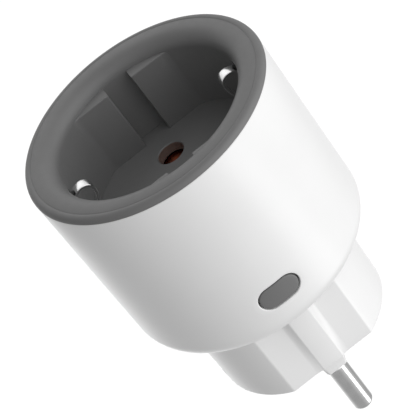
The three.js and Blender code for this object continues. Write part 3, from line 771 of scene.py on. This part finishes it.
def smooth_line(points, steps):
    """Catmull-Rom curve through points, with end tangents along the end spans."""
    line = [Vector(p) for p in points]
    padded = [2 * line[0] - line[1], *line, 2 * line[-1] - line[-2]]
    curve = []
    for a, b, c, d in zip(padded, padded[1:], padded[2:], padded[3:]):
        for i in range(steps):
            t = i / steps
            curve.append(0.5 * (2 * b + (c - a) * t + (2 * a - 5 * b + 4 * c - d) * t * t
                                + (3 * b - a - 3 * c + d) * t ** 3))
    return curve + [line[-1]]


def strip_mesh(points, thickness, width, corner=0.12):
    """A bent strip in (y, z) with rounded edges, its width along x."""
    line = smooth_line(points, 6)
    section = rounded_rectangle(width / 2, thickness / 2, corner, 3)
    rings = []
    for i, point in enumerate(line):
        along = (line[min(i + 1, len(line) - 1)] - line[max(i - 1, 0)]).normalized()
        side = Vector((-along.y, along.x))
        rings.append([(x, point.x + side.x * t, point.y + side.y * t) for x, t in section])
    return skin(rings)


def side_contact_mesh():
    """Earth contact plate in the base's groove, with the tab that goes through the wall."""
    low, high = SIDE_CONTACT_Z
    face = rounded_block((-2.6, 18.1, low), (2.6, 18.75, high), 0.22)
    tab = rounded_block((-1.8, 14.05, 15.9), (1.8, 18.4, 16.6), 0.1, 2)
    return join(face, tab)


def sleeve_mesh(inner, outer, low, high, mouth_up):
    """Contact sleeve with a flared mouth at its upper or lower end."""
    neck = 2 * SLEEVE_FLARE
    ends = [(inner, low), (outer, low), (outer, high), (inner + SLEEVE_FLARE, high), (inner, high - neck)]
    if not mouth_up:
        ends = [(inner + SLEEVE_FLARE, low), (outer, low), (outer, high), (inner, high), (inner, low + neck)]
    return revolve(ends, 64, closed=True)


def socket_contact_mesh():
    """Sleeve with a slit on both sides and a tail that goes down to the board."""
    low, high = SOCKET_CONTACT_Z
    sleeve = sleeve_mesh(*SOCKET_SLEEVE_R, SOCKET_SLEEVE_UNDER_Z, high, mouth_up=True)
    slit = rounded_block((-SOCKET_SLIT_HALF, -4, SOCKET_SLIT_UNDER_Z), (SOCKET_SLIT_HALF, 4, 47), 0.1, 1)
    tail = rounded_block((-1.5, 2.7, low), (1.5, 3.25, SOCKET_SLEEVE_UNDER_Z + 1), 0.08, 1)
    return join(cut(sleeve, slit), tail)


def earth_sleeve_mesh():
    sleeve = sleeve_mesh(*EARTH_SLEEVE_R, *EARTH_SLEEVE_Z, mouth_up=False)
    return cut(sleeve, rounded_block((-5, -EARTH_SLIT_HALF, 5), (5, EARTH_SLIT_HALF, 15), 0.1, 1))


def centre_screw_mesh():
    """Screw with a domed head and a cross recess."""
    top = SCREW_HEAD_TOP_Z
    profile = [(0, SCREW_TIP_Z), (SCREW_TIP_R, SCREW_TIP_Z), (SCREW_R, SCREW_TIP_Z + 1.5),
               (SCREW_R, SCREW_HEAD_UNDER_Z), (SCREW_HEAD_R, SCREW_HEAD_UNDER_Z)]
    profile += arc(SCREW_HEAD_R - SCREW_HEAD_ROUND, top - SCREW_HEAD_DOME, SCREW_HEAD_ROUND, 0, 90, 6,
                   SCREW_HEAD_DOME)
    body = revolve(profile + [(0, top)], 64)
    for turn in (0, 90):
        bar = rounded_block((-1.9, -0.4, top - 0.8), (1.9, 0.4, top + 1), 0.1, 2)
        body = cut(body, moved(bar, turn=turn))
    return body


# ---- camera, stage and light ------------------------------------------------------------

def place_camera():
    """Looks at the button side and into the socket, with the picture rolled about the view."""
    back = Vector((cos(CAMERA_RISE), -sin(CAMERA_RISE), CAMERA_LIFT)).normalized()
    side = (Vector((0, 0, 1)) - back * back.z).normalized()
    over = back.cross(side)
    right = side * cos(CAMERA_ROLL) - over * sin(CAMERA_ROLL)
    up = side * sin(CAMERA_ROLL) + over * cos(CAMERA_ROLL)
    place = Matrix.Translation(CAMERA_AIM * MM + back * (CAMERA_DISTANCE * MM))
    stand = place @ Matrix((right, up, back)).transposed().to_4x4()
    data = bpy.data.cameras.new("camera")
    data.lens = CAMERA_LENS
    data.sensor_width = 36
    data.clip_start = 0.01
    camera = bpy.data.objects.new("camera", data)
    camera.matrix_world = Matrix.Rotation(CAMERA_SPIN, 4, "Y") @ stand
    bpy.context.scene.collection.objects.link(camera)
    bpy.context.scene.camera = camera


def make_floor():
    """Pale floor well below the plug; it is seen, but doesn't bounce light up at it."""
    bm = bmesh.new()
    bmesh.ops.create_grid(bm, x_segments=1, y_segments=1, size=FLOOR_HALF)
    mesh = bpy.data.meshes.new("floor")
    bm.to_mesh(mesh)
    bm.free()
    material, tree, shader = new_material("pale_floor")
    colour = ramp(tree, noise(tree, 3, 2), grey(0.93), grey(0.95))
    tree.links.new(colour, shader.inputs["Base Color"])
    shader.inputs["Roughness"].default_value = 0.9
    shader.inputs["Emission Color"].default_value = (1, 1, 1, 1)
    shader.inputs["Emission Strength"].default_value = 0.3
    mesh.materials.append(material)
    floor = bpy.data.objects.new("floor", mesh)
    floor.location.z = -FLOOR_DROP
    floor.visible_diffuse = False
    floor.visible_glossy = False
    bpy.context.scene.collection.objects.link(floor)


def glow_level(tree, towards, power):
    """One at a direction, falling to nothing at a right angle from it."""
    coords = tree.nodes.new("ShaderNodeTexCoord")
    dot = tree.nodes.new("ShaderNodeVectorMath")
    dot.operation = "DOT_PRODUCT"
    dot.inputs[1].default_value = Vector(towards).normalized()
    front = tree.nodes.new("ShaderNodeMath")
    front.operation = "MAXIMUM"
    front.inputs[1].default_value = 0
    focus = tree.nodes.new("ShaderNodeMath")
    focus.operation = "POWER"
    focus.inputs[1].default_value = power
    tree.links.new(coords.outputs["Generated"], dot.inputs[0])
    tree.links.new(dot.outputs["Value"], front.inputs[0])
    tree.links.new(front.outputs["Value"], focus.inputs[0])
    return focus.outputs["Value"]


def make_world():
    """Soft studio surround with broad glows, and plain white where the camera sees it."""
    world = bpy.data.worlds.new("studio")
    world.use_nodes = True
    bpy.context.scene.world = world
    tree = world.node_tree
    surround = tree.nodes["Background"]
    surround.inputs["Color"].default_value = (1, 1, 1, 1)
    level = None
    for towards, power, gain in (KEY_GLOW, EDGE_GLOW, RIM_GLOW, SOCKET_SHADE):
        glow = glow_level(tree, towards, power)
        scaled = tree.nodes.new("ShaderNodeMath")
        scaled.operation = "MULTIPLY_ADD"
        scaled.inputs[1].default_value = gain
        scaled.inputs[2].default_value = SURROUND_LEVEL
        tree.links.new(glow, scaled.inputs[0])
        if level:
            tree.links.new(level, scaled.inputs[2])
        level = scaled.outputs["Value"]
    tree.links.new(level, surround.inputs["Strength"])
    white = tree.nodes.new("ShaderNodeBackground")
    white.inputs["Color"].default_value = (1, 1, 1, 1)
    white.inputs["Strength"].default_value = BACKDROP_LEVEL
    rays = tree.nodes.new("ShaderNodeLightPath")
    mix = tree.nodes.new("ShaderNodeMixShader")
    tree.links.new(rays.outputs["Is Camera Ray"], mix.inputs["Fac"])
    tree.links.new(surround.outputs["Background"], mix.inputs[1])
    tree.links.new(white.outputs["Background"], mix.inputs[2])
    tree.links.new(mix.outputs["Shader"], tree.nodes["World Output"].inputs["Surface"])


def add_softbox(name, place, size, power):
    """A rectangular light that faces the part's origin."""
    data = bpy.data.lights.new(name, "AREA")
    data.shape = "RECTANGLE"
    data.size, data.size_y = size
    data.energy = power
    light = bpy.data.objects.new(name, data)
    light.location = place
    light.rotation_euler = (-place).to_track_quat("-Z", "Y").to_euler()
    light.visible_camera = False
    bpy.context.scene.collection.objects.link(light)


# ---- assembly ---------------------------------------------------------------------------

bpy.context.scene.view_settings.view_transform = "Standard"
place_camera()
make_floor()
make_world()
add_softbox("strip", STRIP_DISTANCE * Vector(STRIP_TOWARDS), STRIP_SIZE, STRIP_POWER)

# the shown pieces, each in the place of its CAD node
add_piece("shell_moulding", shell_mesh(), "housing_shell", WHITE_PLASTIC)
socket = add_piece("socket_moulding", insert_mesh(), "socket_insert", GREY_PLASTIC)
# the pin hole walls get the brown painted reflection of the copper's light
paint_pin_holes(socket.data, HOLE_BOUNCE_TINT)
add_piece("base_moulding", base_mesh(), "plug_base", WHITE_PLASTIC)
add_piece("button_moulding", button_mesh(), "button_cap", BUTTON_PLASTIC, body="button")

for side, x in (("line", PIN_X), ("neutral", -PIN_X)):
    add_piece(f"{side}_pin_turned", moved(pin_mesh(), x=x), f"{side}_pin", NICKEL)
    add_piece(f"{side}_contact_sleeve", moved(socket_contact_mesh(), x=x), f"{side}_socket_contact",
              CONTACT_COPPER)

for side, placed in (("upper", lambda bm: bm), ("lower", mirrored_y)):
    spring = placed(strip_mesh(SPRING_LINE, SPRING_T, SPRING_WIDTH))
    add_piece(f"{side}_spring_strip", spring, f"{side}_earth_spring", SPRING_STEEL,
              body=f"{side}_earth_spring")
    add_piece(f"{side}_contact_plate", placed(side_contact_mesh()), f"{side}_side_contact",
              SPRING_STEEL)

earth_sleeve = moved(earth_sleeve_mesh(), y=EARTH_PIN_HOLE_Y)
add_piece("earth_pin_sleeve", earth_sleeve, "earth_pin_contact", COPPER)
add_piece("centre_screw_turned", centre_screw_mesh(), "centre_screw", ZINC_STEEL)

# the CAD nodes that stay, each with the finish of its slot
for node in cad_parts.values():
    for held in node.material_slots:
        held.material = MATERIAL_OF_SLOT[held.material.name]
